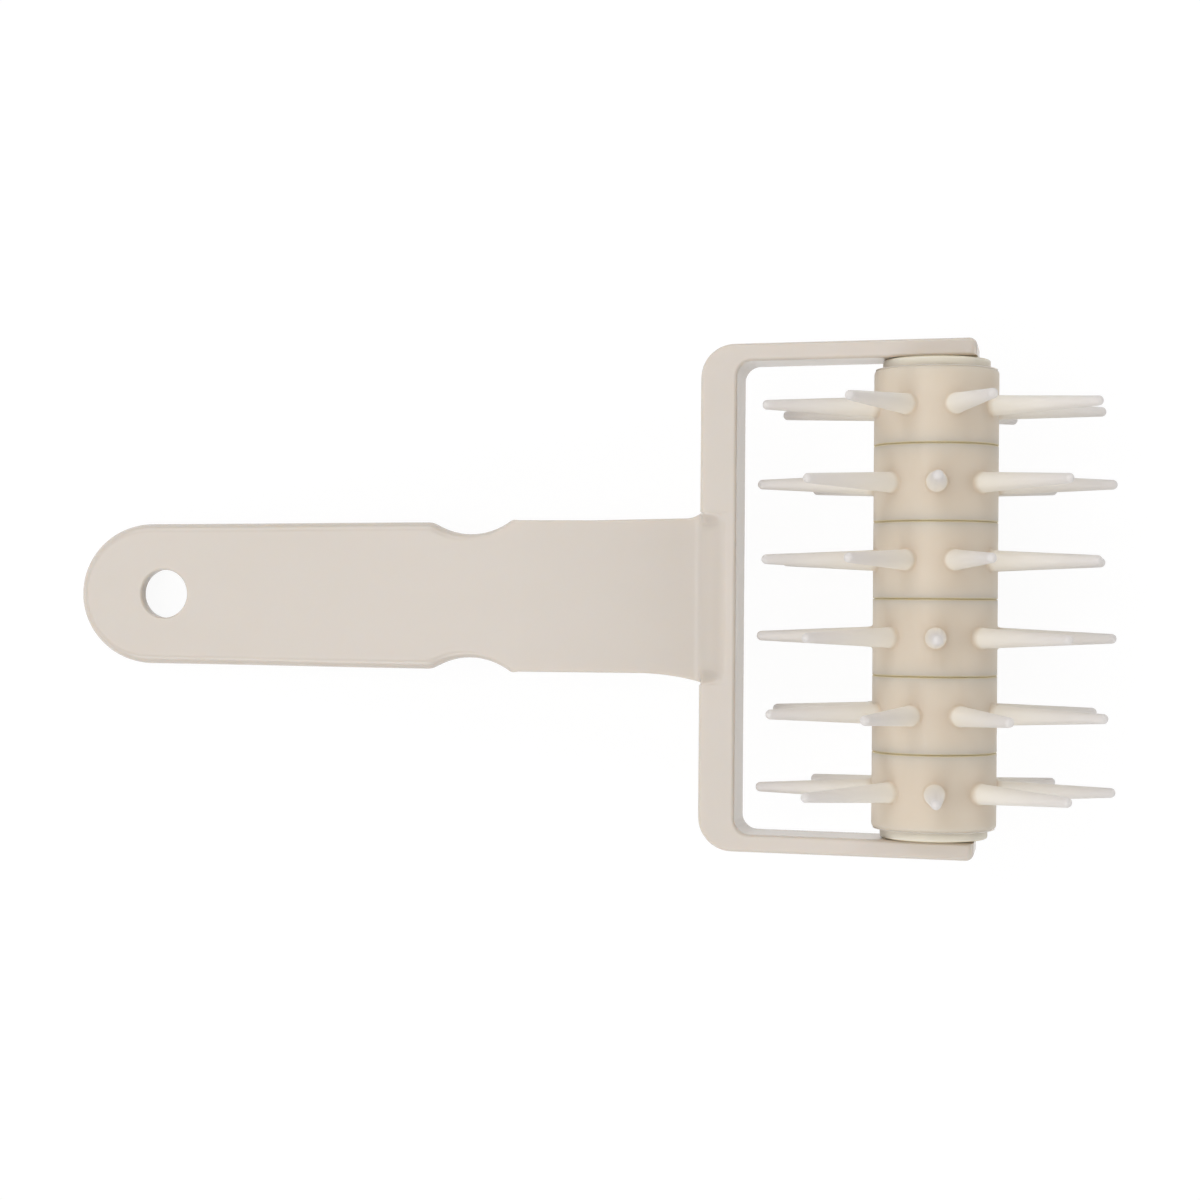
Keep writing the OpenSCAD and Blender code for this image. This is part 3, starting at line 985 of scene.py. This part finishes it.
# %% [markdown]
# ## The table, the light and the air
#
# The photograph's ground is pure white. More light would burn the pale plastic out, so the table's
# whiteness comes from its own material. Where the table is seen it glows, and takes only a small
# share of its tone from the light that falls on it, so the tool's shadow stays faint. Glow and share
# add up to a hair over white. Where the table is mirrored the share is twice as large, so the shadow
# under the tool shows a little more. For all other light the table is a plain matt white.

# %% Table
TABLE_SIZE = 4
TABLE_DROP = 0.02 * MM
SHADED_SHARE = 0.1
MIRRORED_SHARE = 0.2
TABLE_WHITE = 1.025


def seen_rays(tree, path):
    """The rays that see a thing: from the camera, mirrored, or through something clear."""
    seen = add_node(tree, "ShaderNodeMath", {
        0: path.outputs["Is Camera Ray"], 1: path.outputs["Is Glossy Ray"]}, operation="MAXIMUM")
    return add_node(tree, "ShaderNodeMath", {
        0: seen.outputs["Value"], 1: path.outputs["Is Transmission Ray"]}, operation="MAXIMUM")


bpy.ops.mesh.primitive_plane_add(size=TABLE_SIZE, location=(0, 0, -TABLE_DROP))
table = bpy.context.object
table.name = "table"
table_white, tree = new_material("table_white_lacquer")
path = add_node(tree, "ShaderNodeLightPath")
seen = seen_rays(tree, path)
mat_white = add_node(tree, "ShaderNodeBsdfDiffuse", {"Color": linear("#EDEDED")})
share = add_node(tree, "ShaderNodeMapRange", {
    "Value": path.outputs["Is Glossy Ray"], "To Min": SHADED_SHARE, "To Max": MIRRORED_SHARE})
shaded = add_node(tree, "ShaderNodeBsdfDiffuse", {"Color": share.outputs["Result"]})
rest = add_node(tree, "ShaderNodeMath", {
    0: TABLE_WHITE, 1: share.outputs["Result"]}, operation="SUBTRACT")
glow = add_node(tree, "ShaderNodeEmission", {"Color": (1, 1, 1, 1), "Strength": rest.outputs["Value"]})
glowing = add_node(tree, "ShaderNodeAddShader", {0: shaded.outputs["BSDF"], 1: glow.outputs["Emission"]})
both = add_node(tree, "ShaderNodeMixShader", {
    "Fac": seen.outputs["Value"], 1: mat_white.outputs["BSDF"], 2: glowing.outputs["Shader"]})
add_node(tree, "ShaderNodeOutputMaterial", {"Surface": both.outputs["Shader"]})
wear(table, table_white)
print("table:", TABLE_SIZE, "m wide,", table_white.name)

# %% [markdown]
# The world is a white sky. Where it is seen it is as bright as white paper, and as a light it has less
# than half of that, so that the soft boxes can shape the tool.

# %% World
SKY_LIGHT = 0.42
SKY_SEEN = 1.0

world = bpy.data.worlds.new("studio")
bpy.context.scene.world = world
world.use_nodes = True
tree = world.node_tree
tree.nodes.clear()
seen = seen_rays(tree, add_node(tree, "ShaderNodeLightPath"))
strength = add_node(tree, "ShaderNodeMapRange", {
    "Value": seen.outputs["Value"], "To Min": SKY_LIGHT, "To Max": SKY_SEEN})
air = add_node(tree, "ShaderNodeBackground", {
    "Color": (1, 1, 1, 1), "Strength": strength.outputs["Result"]})
add_node(tree, "ShaderNodeOutputWorld", {"Surface": air.outputs["Background"]})
print("sky:", SKY_LIGHT, "as a light,", SKY_SEEN, "where it is seen")

# %% [markdown]
# The sky gives an even light. Four soft boxes do the rest: one over the handle's side, which the grip
# and the yoke mirror softly and the neck hardly, two lower ones beyond the far and near sides, which
# draw the light lines along the rounded edges, and a low one on the right, which opens the roller's
# flank there. Each is given by its direction from the tool, its distance and its two sides in metres,
# and its strength.


# %% Lights
def soft_box(name, direction, distance, size, strength):
    """A soft box that looks at the tool. A strength of 1 is as bright as white paper."""
    place = Vector(direction).normalized() * distance
    bpy.ops.object.light_add(type="AREA", location=place)
    lamp = bpy.context.object
    lamp.name = name
    lamp.data.shape = "RECTANGLE"
    lamp.data.size, lamp.data.size_y = size
    lamp.data.energy = strength * math.pi * size[0] * size[1]
    lamp.rotation_euler = (-place).to_track_quat("-Z", "Y").to_euler()
    print(f"{name}: {lamp.data.energy:.1f} W")


soft_box("soft_box_left", (-0.462, 0, 0.887), 2.5, (1.25, 1.65), 2.2)
soft_box("soft_box_far_side", (-0.38, 0.71, 0.57), 2.75, (1.9, 1.1), 2.9)
soft_box("soft_box_near_side", (-0.38, -0.71, 0.57), 2.75, (1.9, 1.1), 3.1)
soft_box("soft_box_right", (0.9, 0, 0.42), 2.75, (1.5, 1.0), 2.0)

# %% [markdown]
# ## Close
#
# The colours are shown with Blender's Standard view transform.

# %% Finish
bpy.context.scene.view_settings.view_transform = "Standard"
